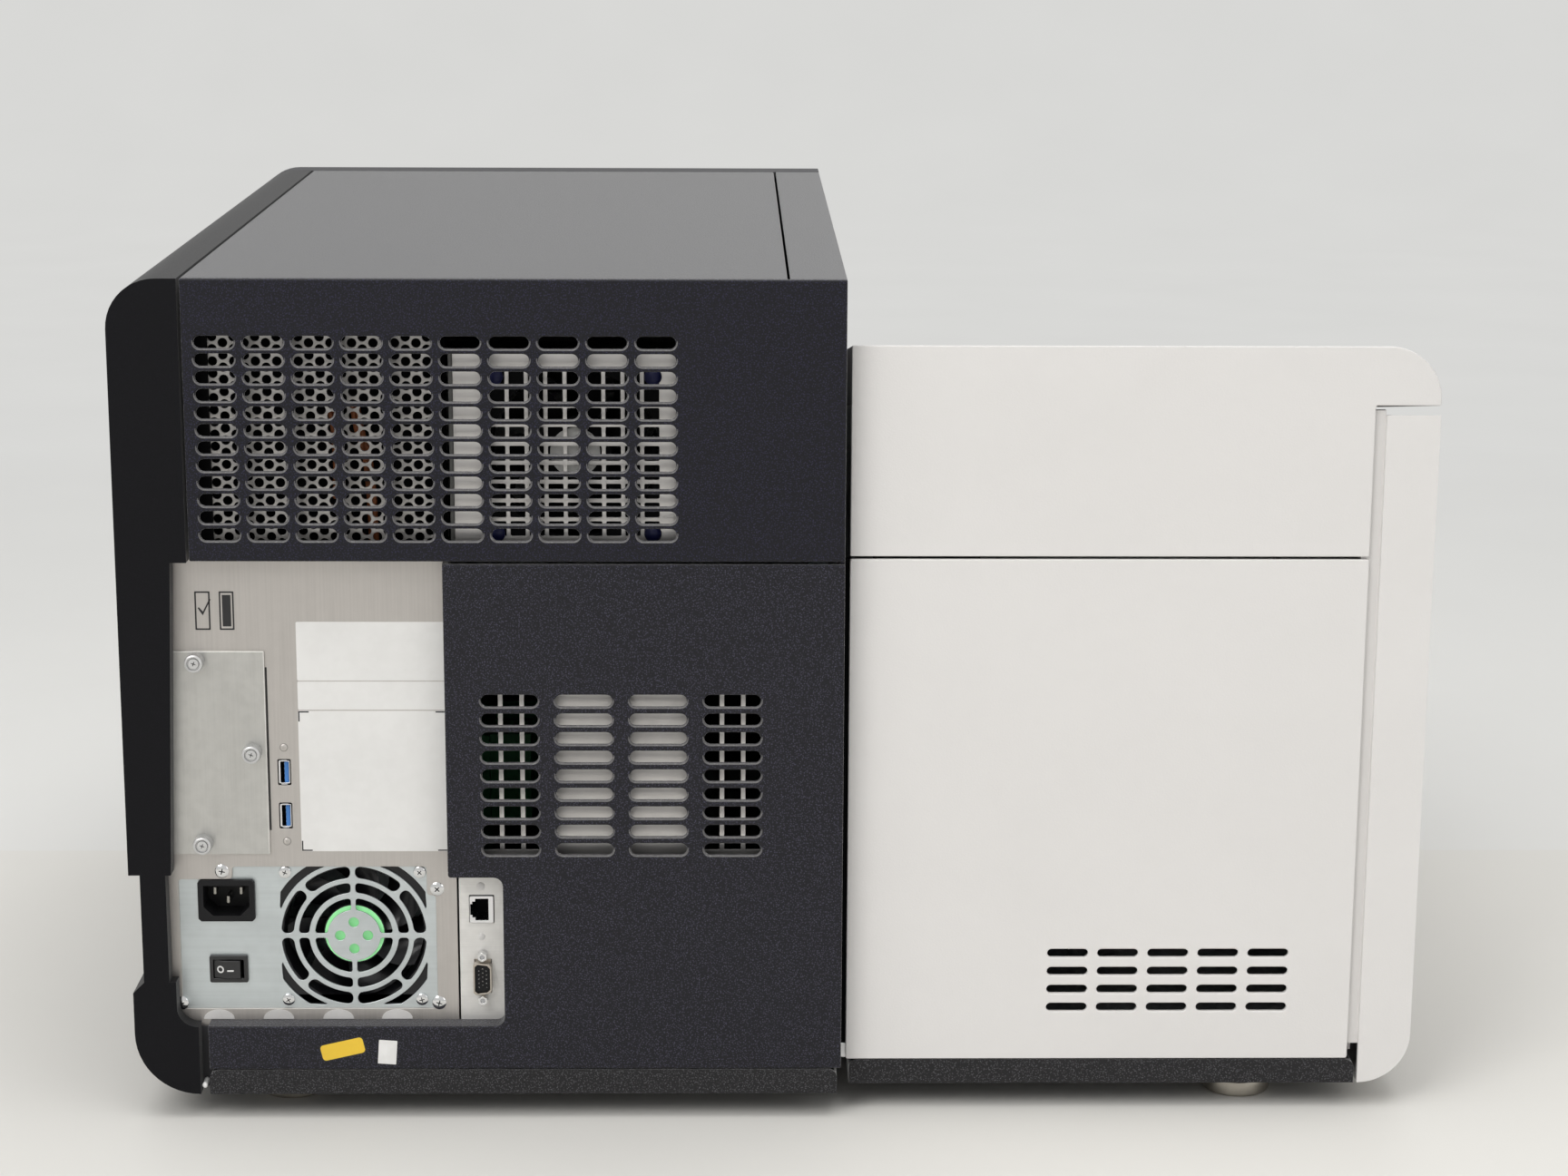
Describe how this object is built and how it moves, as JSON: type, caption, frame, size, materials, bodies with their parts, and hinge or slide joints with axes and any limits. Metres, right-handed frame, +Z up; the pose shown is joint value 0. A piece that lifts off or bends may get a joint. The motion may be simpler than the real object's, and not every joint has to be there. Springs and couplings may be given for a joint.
{
  "type": "benchtop sequencer",
  "caption": "Benchtop sequencer with a tall black computer section and a lower white fluidics section, vented rear covers, hinged front doors and a reagent chiller.",
  "frame": {"origin": "on the bench under the middle of the overall box, between the four feet", "axes": "+X along the width, to the right seen from the front; +Y to the rear, where the power and vent panels are; +Z up"},
  "size_m": [0.686, 0.58, 0.453],
  "materials": {
    "black_coat": "fine textured powder coat",
    "white_coat": "satin paint over moulded plastic",
    "black_moulding": "satin moulded",
    "bare_aluminium": "machined",
    "foot_steel": "turned",
    "input_panel_metal": "fine satin",
    "thumb_screw_steel": "knurled, plated",
    "zinc_steel": "zinc plated sheet",
    "psu_steel": "plated sheet",
    "screw_steel": "plated",
    "connector_shell": "tin plated",
    "connector_plastic": "moulded",
    "contact_metal": "plated",
    "fan_plastic": "moulded",
    "screen_glass": "polished",
    "display_panel": "satin",
    "light_bar": "translucent diffuser",
    "circuit_board": "solder mask",
    "drive_casting": "cast, coated",
    "liner_plastic": "moulded",
    "dark_plastic": "moulded",
    "bottle_plastic": "translucent, blow moulded"
  },
  "bodies": {
    "cabinet": {"access_plate": "bare_aluminium", "base_tray_black": "black_coat", "base_tray_white": "black_coat", "baseplate": "bare_aluminium", "black_side_cover": "black_coat", "chiller_heat_sink": "bare_aluminium", "disk_drive": "drive_casting", "divider_panel": "black_coat", "equipment_shelf": "zinc_steel", "ethernet_jack": "connector_plastic", "fan_mount_plate": "zinc_steel", "flow_cell_deck": "liner_plastic", "front_bezel": "black_moulding", "front_usb_socket": "connector_shell", "hinge_pins": "screw_steel", "imaging_head": "dark_plastic", "inlet_pins": "contact_metal", "io_panel": "input_panel_metal", "leveling_feet": "foot_steel", "main_board": "circuit_board", "monitor_module": "display_panel", "optics_housing": "drive_casting", "perforated_shield": "zinc_steel", "port_bracket": "input_panel_metal", "power_inlet": "connector_plastic", "psu_case": "psu_steel", "psu_fan_frame": "fan_plastic", "psu_screws": "screw_steel", "reagent_chiller": "liner_plastic", "reagent_liner": "liner_plastic", "rear_cover_lower": "black_coat", "rear_cover_upper": "black_coat", "rear_fan_frame": "fan_plastic", "rear_fan_guard": "zinc_steel", "status_bar": "light_bar", "switch_frame": "connector_plastic", "syringe_pump": "dark_plastic", "top_cover": "black_coat", "touch_screen": "screen_glass", "usb_sockets": "connector_shell", "vent_baffle": "zinc_steel", "video_connector": "connector_shell", "waste_bottle": "bottle_plastic", "white_rear_panel": "white_coat", "white_side_cover": "white_coat", "white_upper_cover": "white_coat"},
    "flow_cell_door": {"flow_cell_door": "white_coat"},
    "reagent_door": {"reagent_door": "white_coat"},
    "chiller_door": {"chiller_door": "liner_plastic"},
    "sipper": {"sipper_manifold": "bare_aluminium", "sipper_handle": "dark_plastic"},
    "stage": {"flow_cell_stage": "bare_aluminium"},
    "clamp": {"flow_cell_clamp": "screw_steel"},
    "release_button": {"release_button": "dark_plastic"},
    "psu_fan": {"psu_fan_rotor": "fan_plastic"},
    "rear_fan": {"rear_fan_rotor": "fan_plastic"},
    "rocker": {"switch_rocker": "connector_plastic"},
    "thumb_screw_upper": {"thumb_screw_upper": "thumb_screw_steel"},
    "thumb_screw_middle": {"thumb_screw_middle": "thumb_screw_steel"},
    "thumb_screw_lower": {"thumb_screw_lower": "thumb_screw_steel"}
  },
  "joints": [
    {"name": "flow_cell_door_hinge", "type": "hinge", "parent": "cabinet", "child": "flow_cell_door", "pos_m": [-0.19, -0.042, 0.35493], "axis": [-1, 0, 0], "range_deg": [0, 80]},
    {"name": "reagent_door_hinge", "type": "hinge", "parent": "cabinet", "child": "reagent_door", "pos_m": [-0.3378, -0.2475, 0.13], "axis": [0, 0, -1], "range_deg": [0, 110]},
    {"name": "chiller_door_hinge", "type": "hinge", "parent": "cabinet", "child": "chiller_door", "pos_m": [-0.254, -0.1725, 0.042], "axis": [1, 0, 0], "range_deg": [0, 90]},
    {"name": "sipper_lift", "type": "slide", "parent": "cabinet", "child": "sipper", "axis": [0, 0, -1], "range_m": [0, 0.045]},
    {"name": "stage_slide", "type": "slide", "parent": "cabinet", "child": "stage", "axis": [1, 0, 0], "range_m": [0, 0.06]},
    {"name": "flow_cell_clamp_hinge", "type": "hinge", "parent": "stage", "child": "clamp", "pos_m": [-0.22, -0.108, 0.262], "axis": [-1, 0, 0], "range_deg": [0, 60]},
    {"name": "clamp_release_press", "type": "slide", "parent": "stage", "child": "release_button", "axis": [0, 0, -1], "range_m": [0, 0.0025], "stiffness_N_per_m": 800, "springref_m": -0.001},
    {"name": "psu_fan_spin", "type": "hinge", "parent": "cabinet", "child": "psu_fan", "pos_m": [0.2265, 0.2635, 0.0986], "axis": [0, 1, 0], "continuous": true},
    {"name": "rear_fan_spin", "type": "hinge", "parent": "cabinet", "child": "rear_fan", "pos_m": [0.106, 0.2635, 0.3608], "axis": [0, 1, 0], "continuous": true},
    {"name": "power_rocker_tilt", "type": "hinge", "parent": "cabinet", "child": "rocker", "pos_m": [0.2936, 0.2735, 0.0804], "axis": [0, 0, 1], "range_deg": [0, 16]},
    {"name": "thumb_screw_upper_turn", "type": "hinge", "parent": "cabinet", "child": "thumb_screw_upper", "pos_m": [0.3052, 0.278, 0.2509], "axis": [0, 1, 0], "continuous": true},
    {"name": "thumb_screw_middle_turn", "type": "hinge", "parent": "cabinet", "child": "thumb_screw_middle", "pos_m": [0.2768, 0.278, 0.2016], "axis": [0, 1, 0], "continuous": true},
    {"name": "thumb_screw_lower_turn", "type": "hinge", "parent": "cabinet", "child": "thumb_screw_lower", "pos_m": [0.3041, 0.278, 0.1517], "axis": [0, 1, 0], "continuous": true}
  ]
}
